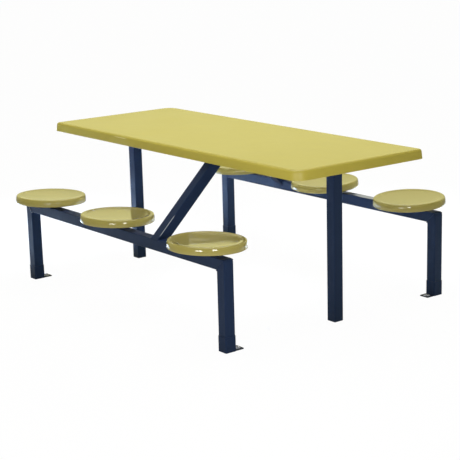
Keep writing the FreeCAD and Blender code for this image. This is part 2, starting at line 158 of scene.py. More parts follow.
# %% [markdown]
# ### Colour drift
#
# No coat of paint or resin has quite one tone. A large soft cloud makes a colour a little lighter in
# one place and darker in the next. A painted picture could do that too, but noise has no seams and
# fits every shape.

# %% Colour drift
def build_drift():
    """Slow change of tone over a surface."""
    tree, given, result = new_group(
        "colour_drift", {"Colour": "colour", "Patch Scale": "value", "Depth": "value"}, {"Colour": "colour"}
    )
    place_on = node(tree, "TexCoord").outputs["Object"]
    cloud = node(tree, "TexNoise", {"Vector": place_on, "Scale": given["Patch Scale"], "Detail": 4.0})
    centred = node(tree, "Math", {0: cloud.outputs[0], 1: 0.5}, operation="SUBTRACT")
    depth = node(tree, "Math", {0: centred.outputs[0], 1: given["Depth"]}, operation="MULTIPLY")
    gain = node(tree, "Math", {0: depth.outputs[0], 1: 1.0}, operation="ADD")
    toned = node(tree, "VectorMath", {0: given["Colour"], "Scale": gain.outputs[0]}, operation="SCALE")
    tree.links.new(toned.outputs[0], result["Colour"])
    return tree


drift = build_drift()
print("effect:", drift.name)

# %% [markdown]
# ### Surface skin
#
# Powder paint sets like the peel of an orange, and resin shrinks into slow waves. Both are heights: a
# fine grain and a wide wave, mixed by a share. As real faces they would number millions, so they only
# bend the normals.

# %% Surface skin
def build_skin():
    """Height of a surface's own texture: a fine grain and a slow wave."""
    tree, given, result = new_group(
        "surface_skin",
        {"Grain Scale": "value", "Wave Scale": "value", "Wave Share": "value"},
        {"Height": "value"},
    )
    place_on = node(tree, "TexCoord").outputs["Object"]
    grain = node(tree, "TexNoise", {"Vector": place_on, "Scale": given["Grain Scale"], "Detail": 2.0})
    wave = node(tree, "TexNoise", {"Vector": place_on, "Scale": given["Wave Scale"], "Detail": 1.0})
    heights = {0: given["Wave Share"], 2: grain.outputs[0], 3: wave.outputs[0]}
    blend = node(tree, "Mix", heights, data_type="FLOAT")
    tree.links.new(blend.outputs[0], result["Height"])
    return tree


skin = build_skin()
print("effect:", skin.name)

# %% [markdown]
# ### Dust and scuffs
#
# Dust settles low down, where a broom passes, and shoes leave short level strokes. The dust fades with
# the height above the floor, and fine noise breaks it into specks. The strokes are noise squeezed
# along Z. Both lie over the colour and make it rougher.

# %% Dust and scuffs
def build_wear():
    """Dust that lies low down, and short scuffs; both change the colour and the roughness."""
    tree, given, result = new_group(
        "dust_and_scuffs",
        {
            "Colour": "colour",
            "Roughness": "value",
            "Dust Colour": "colour",
            "Dust": "value",
            "Dust Height": "value",
            "Scuffs": "value",
        },
        {"Colour": "colour", "Roughness": "value"},
    )
    place_on = node(tree, "TexCoord").outputs["Object"]
    height = node(tree, "SeparateXYZ", {0: place_on}).outputs["Z"]
    share = node(tree, "Math", {0: height, 1: given["Dust Height"]}, operation="DIVIDE")
    low = node(tree, "Math", {0: 1.0, 1: share.outputs[0]}, operation="SUBTRACT", use_clamp=True)
    low_soft = node(tree, "Math", {0: low.outputs[0], 1: 2.0}, operation="POWER")
    specks = node(tree, "TexNoise", {"Vector": place_on, "Scale": 140.0, "Detail": 6.0, "Roughness": 0.7})
    speckled = node(tree, "MapRange", {0: specks.outputs[0], 1: 0.4, 2: 0.72})
    dusty = node(tree, "Math", {0: low_soft.outputs[0], 1: speckled.outputs[0]}, operation="MULTIPLY")
    dust = node(tree, "Math", {0: dusty.outputs[0], 1: given["Dust"]}, operation="MULTIPLY")
    stretched = node(tree, "VectorMath", {0: place_on, 1: (28.0, 28.0, 190.0)}, operation="MULTIPLY")
    strokes = node(tree, "TexNoise", {"Vector": stretched.outputs[0], "Scale": 1.0, "Detail": 3.0})
    stroke = node(tree, "MapRange", {0: strokes.outputs[0], 1: 0.62, 2: 0.74})
    scuff = node(tree, "Math", {0: stroke.outputs[0], 1: given["Scuffs"]}, operation="MULTIPLY")
    cover = node(tree, "Math", {0: dust.outputs[0], 1: scuff.outputs[0]}, operation="MAXIMUM")
    colour = node(
        tree, "Mix", {0: cover.outputs[0], 6: given["Colour"], 7: given["Dust Colour"]}, data_type="RGBA"
    )
    rough = node(tree, "Math", {0: cover.outputs[0], 1: 0.35}, operation="MULTIPLY")
    added = {0: given["Roughness"], 1: rough.outputs[0]}
    total = node(tree, "Math", added, operation="ADD", use_clamp=True)
    tree.links.new(colour.outputs[2], result["Colour"])
    tree.links.new(total.outputs[0], result["Roughness"])
    return tree


wear = build_wear()
print("effect:", wear.name)

# %% [markdown]
# ### Wandering gloss
#
# No finish has one gloss all over. A hand wipes one spot and dries on another. The group below turns a
# cloud with fine detail into a roughness that wanders between two values.

# %% Wandering gloss
def build_gloss():
    """Roughness that wanders between a low and a high value."""
    tree, given, result = new_group(
        "wandering_gloss", {"Low": "value", "High": "value", "Scale": "value"}, {"Roughness": "value"}
    )
    place_on = node(tree, "TexCoord").outputs["Object"]
    detail = {"Vector": place_on, "Scale": given["Scale"], "Detail": 5.0, "Roughness": 0.65}
    cloud = node(tree, "TexNoise", detail).outputs[0]
    spread = node(tree, "MapRange", {0: cloud, 1: 0.3, 2: 0.7, 3: given["Low"], 4: given["High"]})
    tree.links.new(spread.outputs[0], result["Roughness"])
    return tree


gloss = build_gloss()
print("effect:", gloss.name)

# %% [markdown]
# ### Painted highlights
#
# Pale marks are painted where light catches the table: glints on the front brace and on one corner of the frame, a
# reflection of the bright sky on top of the rear beam, and a bright streak along the front edge of the top. They
# are painted highlights and painted reflections. Each is a cloud in the shape of a stretched ball round one place.
# Its length along each axis is its reach.

# %% Painted highlight place
def build_highlight_place():
    """Mask of a stretched ball round a place, broken up by fine noise."""
    tree, given, result = new_group(
        "painted_highlight_place", {"Place": "vector", "Reach": "vector"}, {"Mask": "value"}
    )
    place_on = node(tree, "TexCoord").outputs["Object"]
    offset = node(tree, "VectorMath", {0: place_on, 1: given["Place"]}, operation="SUBTRACT").outputs[0]
    share = node(tree, "VectorMath", {0: offset, 1: given["Reach"]}, operation="DIVIDE").outputs[0]
    away = node(tree, "VectorMath", {0: share}, operation="LENGTH").outputs["Value"]
    near = node(tree, "MapRange", {0: away, 1: 1.0, 2: 0.75, 3: 0.0, 4: 1.0}).outputs[0]
    grain = node(tree, "TexNoise", {"Vector": place_on, "Scale": 260.0, "Detail": 3.0}).outputs[0]
    kept = node(tree, "MapRange", {0: grain, 1: 0.30, 2: 0.45, 3: 0.6, 4: 1.0}).outputs[0]
    mask = node(tree, "Math", {0: near, 1: kept}, operation="MULTIPLY")
    tree.links.new(mask.outputs[0], result["Mask"])
    return tree


highlight_place = build_highlight_place()
print("effect:", highlight_place.name)

# %% [markdown]
# ## The finishes
#
# A material function starts each finish: one Principled shader whose constant values sit on its own
# sockets, with only the changing colour, roughness and normal linked in.

# %% Start a finish
def new_finish(name, **values):
    """Material with a Principled shader, and the values that are the same all over it."""
    material = bpy.data.materials.new(name)
    material.use_nodes = True
    tree = material.node_tree
    shader = tree.nodes["Principled BSDF"]
    for key, value in values.items():
        shader.inputs[key.replace("_", " ")].default_value = value
    return material, tree, shader


def dress(tree, shader, colour=None, roughness=None, height=None, bump=0.1, depth=0.001):
    """Links a finish's changing colour, roughness and surface height to its shader."""
    if colour:
        tree.links.new(colour, shader.inputs["Base Color"])
    if roughness:
        tree.links.new(roughness, shader.inputs["Roughness"])
    if height:
        bumped = node(tree, "Bump", {"Strength": bump, "Distance": depth, "Height": height})
        tree.links.new(bumped.outputs[0], shader.inputs["Normal"])


# %% [markdown]
# ### Yellow gel coat
#
# The top and the seats are glass fibre in polyester, moulded against a polished form. What shows is
# the gel coat, a pigmented resin skin. It is glossy and slightly wavy, because the resin shrinks
# between the fibres. The top is wiped daily and is duller than the seats, most of all on its edge,
# where trolleys brush past. A pale streak on the front edge is a painted highlight, where a lamp is
# mirrored. One function makes both coats, because they differ only in colour and gloss.

# %% Gel coats
TOP_YELLOW = (0.450, 0.374, 0.056, 1.0)
SEAT_YELLOW = (0.335, 0.284, 0.080, 1.0)
# Painted highlight: pale streak on the front edge of the top, standing in for a mirrored lamp.
STREAK_HIGHLIGHT_YELLOW = (0.80, 0.75, 0.40, 1.0)
SCUFF_GREY = (0.34, 0.32, 0.28, 1.0)
STREAK_X = -0.345
STREAK_INSET = 0.001
STREAK_DROP = 0.010
STREAK_REACH = (0.072, 0.006, 0.0022)

top_low, top_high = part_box("tabletop_shell")
highlight_streak = Vector((STREAK_X, top_low.y + STREAK_INSET, top_high.z - STREAK_DROP))


def gel_coat(name, colour, low, high, bump, duller):
    """Resin skin between two roughness values, duller by a share where it turns down."""
    material, tree, shader = new_finish(name, IOR=1.5)
    toned = place(tree, drift, {"Colour": colour, "Patch Scale": 2.4, "Depth": 0.05})
    shine = place(tree, gloss, {"Low": low, "High": high, "Scale": 5.0})
    worn = place(
        tree,
        wear,
        {
            "Colour": toned["Colour"],
            "Roughness": shine["Roughness"],
            "Dust Colour": SCUFF_GREY,
            "Dust": 0.0,
            "Dust Height": 0.2,
            "Scuffs": 0.02,
        },
    )
    facing = node(tree, "SeparateXYZ", {0: node(tree, "TexCoord").outputs["Normal"]}).outputs["Z"]
    turned = node(tree, "MapRange", {0: facing, 1: 0.99, 2: 0.8, 3: 0.0, 4: duller})
    rough = node(tree, "Math", {0: worn["Roughness"], 1: turned.outputs[0]}, operation="ADD").outputs[0]
    height = place(tree, skin, {"Grain Scale": 420.0, "Wave Scale": 16.0, "Wave Share": 0.94})
    # Painted highlight: the pale streak along the front edge of the top.
    mask = place(tree, highlight_place, {"Place": highlight_streak, "Reach": STREAK_REACH})["Mask"]
    streaked = node(tree, "Mix", {0: mask, 6: worn["Colour"], 7: STREAK_HIGHLIGHT_YELLOW}, data_type="RGBA")
    dress(tree, shader, streaked.outputs[2], rough, height["Height"], bump, 0.004)
    return material


top_gelcoat = gel_coat("top_gelcoat", TOP_YELLOW, 0.19, 0.25, 0.03, 0.22)
seat_gelcoat = gel_coat("seat_gelcoat", SEAT_YELLOW, 0.05, 0.09, 0.02, 0.0)
print("gel coats:", top_gelcoat.name, seat_gelcoat.name)

# %% [markdown]
# ### Glass-fibre laminate
#
# The back of a moulding isn't polished. It shows the mat of short glass strands that the resin was
# rolled into. Stretched noise in three directions gives crossing strands. The same noise drives the
# tone and the height, so that light and shade fall on the strands that show.

# %% Laminate
def build_laminate():
    """Back of a glass-fibre moulding, with the strands of the mat showing."""
    material, tree, shader = new_finish("laminate", IOR=1.5)
    place_on = node(tree, "TexCoord").outputs["Object"]
    strands = None
    for turn in (0.2, 1.25, 2.3):
        turned = node(tree, "VectorRotate", {"Vector": place_on, "Angle": turn}, rotation_type="Z_AXIS")
        stretch = {0: turned.outputs[0], 1: (26.0, 420.0, 60.0)}
        drawn = node(tree, "VectorMath", stretch, operation="MULTIPLY").outputs[0]
        lines = node(tree, "TexNoise", {"Vector": drawn, "Scale": 1.0, "Detail": 2.0}).outputs[0]
        if strands:
            lines = node(tree, "Math", {0: strands, 1: lines}, operation="MAXIMUM").outputs[0]
        strands = lines
    tone = node(tree, "ValToRGB", {0: strands})
    tone.color_ramp.elements[0].position = 0.48
    tone.color_ramp.elements[0].color = (0.60, 0.57, 0.44, 1.0)
    tone.color_ramp.elements[1].position = 0.74
    tone.color_ramp.elements[1].color = (0.78, 0.76, 0.66, 1.0)
    toned = place(tree, drift, {"Colour": tone.outputs[0], "Patch Scale": 7.0, "Depth": 0.25})
    shine = place(tree, gloss, {"Low": 0.38, "High": 0.6, "Scale": 30.0})
    dress(tree, shader, toned["Colour"], shine["Roughness"], strands, 0.5, 0.0008)
    return material


laminate = build_laminate()
print("finish:", laminate.name)

# %% [markdown]
# ### Navy paint
#
# The steel is powder coated. Baked powder flows into a skin with a fine orange-peel texture and a
# satin gloss. Near the floor it picks up dust from sweeping and a few scuffs from shoes. Pale paint is
# also laid on as painted highlights: painted glints on the front left corner of the frame and on the
# sharp edge of the front brace near its foot, and a painted reflection of the bright sky on top of
# the rear beam. On the brace the painted glint keeps to surfaces that face partly along X, which only
# its rounded edges do.

# %% Places of painted highlights in the paint
# Painted glint on the rounded edge of the front brace, near its foot.
BRACE_GLINT_Z = 0.455
BRACE_GLINT_IN = 0.056
BRACE_GLINT_REACH = (0.03, 0.09, 0.049)
# Painted reflection of the bright sky on top of the rear beam.
BEAM_REFLECTION_X = 0.325
BEAM_REFLECTION_REACH = (0.095, 0.023, 0.004)
# Painted glints on the mitre seam and on the lower front edge of the beam at the front left corner.
SEAM_GLINT_OUT = 0.0025
SEAM_GLINT_REACH = (0.034, 0.0017, 0.034)
EDGE_GLINT_PAST_LEG = 0.030
EDGE_GLINT_REACH = (0.038, 0.0035, 0.0035)

brace_low, brace_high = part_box("brace_front")
rear_low, rear_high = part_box("seat_beam_rear")
corner_low, corner_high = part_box("seat_leg_front_left")
beam_low, beam_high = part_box("seat_beam_front")
corner_x = (corner_low.x + corner_high.x) / 2
beam_z = (beam_low.z + beam_high.z) / 2
brace_glint = Vector((brace_high.x, brace_low.y + BRACE_GLINT_IN, BRACE_GLINT_Z))
beam_reflection = Vector((BEAM_REFLECTION_X, (rear_low.y + rear_high.y) / 2, rear_high.z))
seam_glint = Vector((corner_x, beam_low.y - SEAM_GLINT_OUT, beam_z))
edge_glint = Vector((corner_high.x + EDGE_GLINT_PAST_LEG, beam_low.y, beam_low.z))
painted_highlights = [(beam_reflection, BEAM_REFLECTION_REACH), (seam_glint, SEAM_GLINT_REACH), (edge_glint, EDGE_GLINT_REACH)]
# Counts the painted highlights in the paint: painted glints and one painted reflection.
print("rubbed places in the paint:", 1 + len(painted_highlights))

# %% Paint
PAINT_SPECULAR = 0.12
PAINT_TINT = (0.40, 0.65, 1.0, 1.0)
# Pale colour of the painted glints and the painted reflection.
PAINTED_GLINT_BLUE = (0.36, 0.38, 0.44, 1.0)


def brace_glint_mask(tree):
    """Mask of the painted glint on a stretch of the brace's edge."""
    facing = node(tree, "SeparateXYZ", {0: node(tree, "TexCoord").outputs["Normal"]}).outputs["X"]
    slant = node(tree, "Math", {0: facing}, operation="ABSOLUTE").outputs[0]
    rise = node(tree, "MapRange", {0: slant, 1: 0.15, 2: 0.3, 3: 0.0, 4: 1.0})
    drop = node(tree, "MapRange", {0: slant, 1: 0.97, 2: 0.90, 3: 0.0, 4: 1.0})
    edge = node(tree, "Math", {0: rise.outputs[0], 1: drop.outputs[0]}, operation="MULTIPLY")
    near = place(tree, highlight_place, {"Place": brace_glint, "Reach": BRACE_GLINT_REACH})["Mask"]
    return node(tree, "Math", {0: near, 1: edge.outputs[0]}, operation="MULTIPLY").outputs[0]


def build_paint():
    """Satin powder coat with orange peel, dust near the floor, scuffs and painted highlights."""
    material, tree, shader = new_finish(
        "navy_paint", IOR=1.5, Specular_IOR_Level=PAINT_SPECULAR, Specular_Tint=PAINT_TINT
    )
    toned = place(tree, drift, {"Colour": (0.0130, 0.0240, 0.0670, 1.0), "Patch Scale": 5.0, "Depth": 0.3})
    shine = place(tree, gloss, {"Low": 0.34, "High": 0.46, "Scale": 22.0})
    worn = place(
        tree,
        wear,
        {
            "Colour": toned["Colour"],
            "Roughness": shine["Roughness"],
            "Dust Colour": (0.06, 0.065, 0.08, 1.0),
            "Dust": 0.2,
            "Dust Height": 0.10,
            "Scuffs": 0.03,
        },
    )
    mask = brace_glint_mask(tree)
    for spot, reach in painted_highlights:
        more = place(tree, highlight_place, {"Place": spot, "Reach": reach})["Mask"]
        mask = node(tree, "Math", {0: mask, 1: more}, operation="MAXIMUM").outputs[0]
    # Painted highlights: pale paint where light catches edges and where the rear beam mirrors the sky.
    glinted = node(tree, "Mix", {0: mask, 6: worn["Colour"], 7: PAINTED_GLINT_BLUE}, data_type="RGBA")
    height = place(tree, skin, {"Grain Scale": 380.0, "Wave Scale": 70.0, "Wave Share": 0.5})
    dress(tree, shader, glinted.outputs[2], worn["Roughness"], height["Height"], 0.22, 0.0008)
    return material


navy_paint = build_paint()
print("finish:", navy_paint.name)

# %% [markdown]
# ### Dark zinc on steel
#
# Foot plates, screws, nuts and carrier plates are steel under a dark passivated zinc. It has a dull
# cool sheen with faint crystals, so a cell texture drives its tone. Round its bolt hole each foot
# plate has a pale painted ring: painted light that stands in for the bright floor seen through the
# hole. The four holes lie at the same distances from the middle of the table, so one distance on
# positive coordinates finds them all.

# %% Zinc
HOLE_EDGE = 0.020
# Size and colour of the pale painted ring: painted light for the bright floor seen through the hole.
PALE_RING_RADIUS = 0.017
PAINTED_FLOOR_LIGHT = (0.62, 0.64, 0.80, 1.0)
plate_low, plate_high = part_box("anchor_plate_front_right")
hole = Vector(((plate_low.x + plate_high.x) / 2, HOLE_EDGE - plate_high.y, plate_high.z))
print("bolt hole of a foot plate, from the middle in mm:", [round(1000 * n, 1) for n in hole])


def build_zinc():
    """Dark plated steel with faint crystals and painted light round the bolt holes."""
    material, tree, shader = new_finish("zinc_steel", IOR=1.5, Specular_IOR_Level=0.05)
    place_on = node(tree, "TexCoord").outputs["Object"]
    cells = node(tree, "TexVoronoi", {"Vector": place_on, "Scale": 130.0})
    tone = node(tree, "ValToRGB", {0: cells.outputs["Color"]})
    tone.color_ramp.elements[0].color = (0.016, 0.024, 0.052, 1.0)
    tone.color_ramp.elements[1].color = (0.030, 0.042, 0.080, 1.0)
    positive = node(tree, "VectorMath", {0: place_on}, operation="ABSOLUTE").outputs[0]
    away = node(tree, "VectorMath", {0: positive, 1: hole}, operation="DISTANCE").outputs["Value"]
    # Painted light: a pale ring round each bolt hole, standing in for the bright floor seen through it.
    pale_ring = node(tree, "MapRange", {0: away, 1: PALE_RING_RADIUS, 2: 0.9 * PALE_RING_RADIUS, 3: 0.0, 4: 0.9})
    ring = {0: pale_ring.outputs[0], 6: tone.outputs[0], 7: PAINTED_FLOOR_LIGHT}
    ringed_tone = node(tree, "Mix", ring, data_type="RGBA")
    toned = place(tree, drift, {"Colour": ringed_tone.outputs[2], "Patch Scale": 12.0, "Depth": 0.2})
    shine = place(tree, gloss, {"Low": 0.34, "High": 0.52, "Scale": 60.0})
    worn = place(
        tree,
        wear,
        {
            "Colour": toned["Colour"],
            "Roughness": shine["Roughness"],
            "Dust Colour": (0.08, 0.085, 0.10, 1.0),
            "Dust": 0.2,
            "Dust Height": 0.03,
            "Scuffs": 0.15,
        },
    )
    height = place(tree, skin, {"Grain Scale": 900.0, "Wave Scale": 120.0, "Wave Share": 0.5})
    dress(tree, shader, worn["Colour"], worn["Roughness"], height["Height"], 0.25, 0.0004)
    return material


zinc_steel = build_zinc()
print("finish:", zinc_steel.name)

# %% [markdown]
# ### Moulded plastics
#
# The foot sleeves and plugs are polythene in the navy of the frame, with the sheen of its paint. The
# slip rings are a pale nylon. Both have a spark-eroded grain from their moulds, so one function with
# two colours makes them.

# %% Plastics
def build_plastic(name, colour, low, high, dust):
    """Moulded plastic with a soft sheen and a fine grain."""
    material, tree, shader = new_finish(
        name, IOR=1.5, Specular_IOR_Level=PAINT_SPECULAR, Specular_Tint=PAINT_TINT
    )
    toned = place(tree, drift, {"Colour": colour, "Patch Scale": 30.0, "Depth": 0.2})
    shine = place(tree, gloss, {"Low": low, "High": high, "Scale": 45.0})
    worn = place(
        tree,
        wear,
        {
            "Colour": toned["Colour"],
            "Roughness": shine["Roughness"],
            "Dust Colour": (0.11, 0.11, 0.11, 1.0),
            "Dust": dust,
            "Dust Height": 0.06,
            "Scuffs": 0.12,
        },
    )
    height = place(tree, skin, {"Grain Scale": 1100.0, "Wave Scale": 90.0, "Wave Share": 0.25})
    dress(tree, shader, worn["Colour"], worn["Roughness"], height["Height"], 0.3, 0.0004)
    return material


foot_plastic = build_plastic("foot_plastic", (0.0125, 0.0232, 0.0650, 1.0), 0.36, 0.46, 0.08)
slip_plastic = build_plastic("slip_plastic", (0.52, 0.51, 0.46, 1.0), 0.4, 0.5, 0.0)
print("finishes:", foot_plastic.name, slip_plastic.name)

# %% [markdown]
# ### Wood and bronze
#
# The board under the top and the block in each seat are varnished plywood: a straight grain on the
# faces and thin plies at the edges. Noise stretched along X makes the grain, and bands along Z make
# the plies where a face stands upright. The pivot sleeve is turned bronze with fine tool marks round it.

# %% Wood
def build_wood():
    """Plywood with grain along X and plies through its thickness."""
    material, tree, shader = new_finish("board_wood", IOR=1.5)
    place_on = node(tree, "TexCoord").outputs["Object"]
    drawn = node(tree, "VectorMath", {0: place_on, 1: (3.0, 60.0, 4.0)}, operation="MULTIPLY")
    streaks = {"Vector": drawn.outputs[0], "Scale": 1.6, "Detail": 8.0, "Distortion": 0.6}
    grain = node(tree, "TexNoise", streaks)
    tone = node(tree, "ValToRGB", {0: grain.outputs[0]})
    tone.color_ramp.elements[0].position = 0.3
    tone.color_ramp.elements[0].color = (0.58, 0.50, 0.36, 1.0)
    tone.color_ramp.elements[1].position = 0.72
    tone.color_ramp.elements[1].color = (0.78, 0.71, 0.55, 1.0)
    bands = {"Vector": place_on, "Scale": 130.0, "Distortion": 0.4}
    plies = node(tree, "TexWave", bands, bands_direction="Z")
    side = node(tree, "SeparateXYZ", {0: node(tree, "NewGeometry").outputs["Normal"]})
    flat = node(tree, "Math", {0: side.outputs["Z"]}, operation="ABSOLUTE")
    edge = node(tree, "Math", {0: 1.0, 1: flat.outputs[0]}, operation="SUBTRACT", use_clamp=True)
    share = node(tree, "Math", {0: edge.outputs[0], 1: plies.outputs["Fac"]}, operation="MULTIPLY")
    glued = {0: share.outputs[0], 6: tone.outputs[0], 7: (0.16, 0.09, 0.045, 1.0)}
    plied = node(tree, "Mix", glued, data_type="RGBA")
    toned = place(tree, drift, {"Colour": plied.outputs[2], "Patch Scale": 5.0, "Depth": 0.2})
    shine = place(tree, gloss, {"Low": 0.10, "High": 0.18, "Scale": 14.0})
    dress(tree, shader, toned["Colour"], shine["Roughness"], grain.outputs[0], 0.03, 0.0006)
    return material


board_wood = build_wood()
print("finish:", board_wood.name)

# %% Bronze
def build_bronze():
    """Turned bronze with fine rings from the tool."""
    material, tree, shader = new_finish("bronze", Metallic=1.0)
    place_on = node(tree, "TexCoord").outputs["Object"]
    tool_marks = {"Vector": place_on, "Scale": 420.0, "Distortion": 0.5}
    rings = node(tree, "TexWave", tool_marks, bands_direction="Z")
    toned = place(tree, drift, {"Colour": (0.50, 0.29, 0.12, 1.0), "Patch Scale": 60.0, "Depth": 0.35})
    shine = place(tree, gloss, {"Low": 0.28, "High": 0.42, "Scale": 90.0})
    dress(tree, shader, toned["Colour"], shine["Roughness"], rings.outputs["Fac"], 0.2, 0.0003)
    return material


bronze = build_bronze()
print("finish:", bronze.name)

# %% [markdown]
# ## Dress the pieces that stay
#
# Tubes, plates and hardware already have their true shape in the model, rounded corners included, so
# they stay and only take a finish. The record of the model names a slot for each node, and one table
# gives each slot its finish.

# %% Finish for each slot of the record
finish_of_slot = {
    "top_gelcoat": top_gelcoat,
    "seat_gelcoat": seat_gelcoat,
    "navy_paint": navy_paint,
    "foot_plastic": foot_plastic,
    "zinc_steel": zinc_steel,
    "board_wood": board_wood,
    "bronze": bronze,
    "slip_plastic": slip_plastic,
}
for subpart in frame["record"]["subparts"]:
    piece = frame["nodes"][subpart["node"]]
    piece.data.materials.clear()
    piece.data.materials.append(finish_of_slot[subpart["material_slot"]])
print("finishes on", len(frame["nodes"]), "nodes")

# %% [markdown]
# ## The moulded top
#
# A top like this leaves its mould in one piece: a flat deck, an edge rolled down all round, and a rim
# that leans outwards a little so that it comes free. In the picture the left and right corners are
# sharper than the near one, so they go in pairs, half a turn apart. A section through the rim is drawn
# once, and a ring of the top's plan is made at each of its points. The section goes down the outside,
# round the trimmed lower edge and up the inside, so the skin has its real thickness.

# %% Rings of the top
TOP_CORNERS = (0.030, 0.062, 0.030, 0.062)
TOP_ROLL = 0.012
TOP_DRAFT = 0.005
TOP_SKIN = 0.005
TRIM_ROUND = 0.0012
CORNER_STEPS = 20
ROLL_STEPS = 10
TRIM_STEPS = 4
HOLLOW_STEPS = 6

rim_depth = top_high.z - top_low.z
rim_lean = math.atan2(TOP_DRAFT, rim_depth)
print("rim:", round(1000 * rim_depth, 1), "mm deep, leaning", round(math.degrees(rim_lean), 1), "degrees")


def plan_ring(inset, z):
    """Points round the top's plan, drawn in by an inset."""
    ring = []
    for quarter, (side_x, side_y) in enumerate(((1, 1), (-1, 1), (-1, -1), (1, -1))):
        corner = TOP_CORNERS[quarter]
        for step in range(CORNER_STEPS + 1):
            angle = (quarter + step / CORNER_STEPS) * math.pi / 2
            x = side_x * (top_high.x - corner) + (corner - inset) * math.cos(angle)
            y = side_y * (top_high.y - corner) + (corner - inset) * math.sin(angle)
            ring.append(Vector((x, y, z)))
    return ring


def plan_fill(first):
    """Faces across a plan ring, each from a point to its mirror image over the length of the top."""
    row = CORNER_STEPS + 1
    faces = []
    upper = list(range(2 * row))
    lower = [4 * row - 1 - i for i in range(2 * row)]
    for i in range(2 * row - 1):
        faces.append(tuple(first + k for k in (upper[i], upper[i + 1], lower[i + 1], lower[i])))
    return faces


# %% Section through the rim
def rim_inset(z, offset=0.0):
    """Inset of the leaning rim at a height."""
    return offset + TOP_DRAFT * (z - top_low.z) / rim_depth


def rim_section():
    """Section as (inset, height) pairs from the deck, down the outside and up the inside."""
    roll_z = top_high.z - TOP_ROLL
    roll = (rim_inset(roll_z) + TOP_ROLL / math.cos(rim_lean), roll_z)
    trim_z = top_low.z + TRIM_ROUND
    outer_trim = (rim_inset(trim_z) + TRIM_ROUND / math.cos(rim_lean), trim_z)
    inner_trim = (rim_inset(trim_z, TOP_SKIN) - TRIM_ROUND / math.cos(rim_lean), trim_z)
    hollow_z = top_high.z - TOP_SKIN - (TOP_ROLL - TOP_SKIN)
    hollow = (rim_inset(hollow_z, TOP_SKIN) + (TOP_ROLL - TOP_SKIN) / math.cos(rim_lean), hollow_z)
    outside = math.pi - rim_lean
    inside = -rim_lean
    section = [(roll[0] + TOP_ROLL, top_high.z)]
    section += arc(roll, TOP_ROLL, math.pi / 2, outside, ROLL_STEPS)
    section += arc(outer_trim, TRIM_ROUND, outside, 1.5 * math.pi, TRIM_STEPS)
    outer_count = len(section)
    section += arc(inner_trim, TRIM_ROUND, -math.pi / 2, inside, TRIM_STEPS)
    section += arc(hollow, TOP_ROLL - TOP_SKIN, outside, math.pi / 2, HOLLOW_STEPS)
    section.append((hollow[0] + TOP_ROLL, top_high.z - TOP_SKIN))
    return section, outer_count


# %% Build the top
section, outer_count = rim_section()
points, faces = loft([plan_ring(inset, z) for inset, z in section])
ring_size = 4 * (CORNER_STEPS + 1)
first_back = ring_size * (outer_count - 1)
faces = plan_fill(0) + faces + plan_fill(ring_size * (len(section) - 1))
backs = range(len(plan_fill(0)) + first_back, len(faces))
tabletop = add_piece("tabletop", points, faces, "frame", [top_gelcoat, laminate], backs)
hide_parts("tabletop_shell")
print("top section:", len(section), "points, outside", outer_count)

# %% [markdown]
# ## The seats
#
# A seat is turned, so its section is spun about the swivel axis. The axis leans a little towards the
# table, so every seat is drawn in a frame of its own: its origin is the swivel's place in the model
# and its third direction is the axis. The sizes are measured in that frame, along the axis and out
# from it. The section has a shallow bowl, a soft slope up to a rounded lip, a bulged rim and a small
# radius at the bottom. The bowl and the rim are long arcs. The slope is two arcs of one radius, a
# hollow one and a round one, that meet without a corner. In the picture the rim reaches a little lower
# than the measured shell, so it has a drop of its own.

# %% Frame and size of a seat
def seat_frame(joint):
    """Matrix from a seat's own frame to the table, from its swivel."""
    axis = Vector(joint["axis"])
    turn = Vector((0.0, 0.0, 1.0)).rotation_difference(axis).to_matrix().to_4x4()
    return Matrix.Translation(Vector(joint["pos_m"])) @ turn


def seat_size(joint):
    """Lowest height, highest height and radius of a seat shell in its own frame."""
    shell = frame["nodes"][joint["child"].replace("seat_", "seat_shell_")]
    into = seat_frame(joint).inverted()
    points = [into @ vertex.co for vertex in shell.data.vertices]
    heights = [p.z for p in points]
    return min(heights), max(heights), max(p.xy.length for p in points)


seat_low, seat_high, seat_radius = seat_size(frame["joints"][0])
print("seat in mm:", [round(1000 * size, 1) for size in (seat_low, seat_high, seat_radius)])

# %% Section of a seat
SEAT_LIP = 0.006
SEAT_SKIRT = 0.004
SEAT_WALL = 0.003
SEAT_BOWL = 0.0033
SEAT_SLOPE = 0.028
SEAT_STEEP = math.radians(10.0)
RIM_ABOVE = math.radians(18.0)
RIM_BELOW = math.radians(6.0)
RIM_DROP = 0.0025
HUB_SHARE = 0.04
SEAT_STEPS = 160


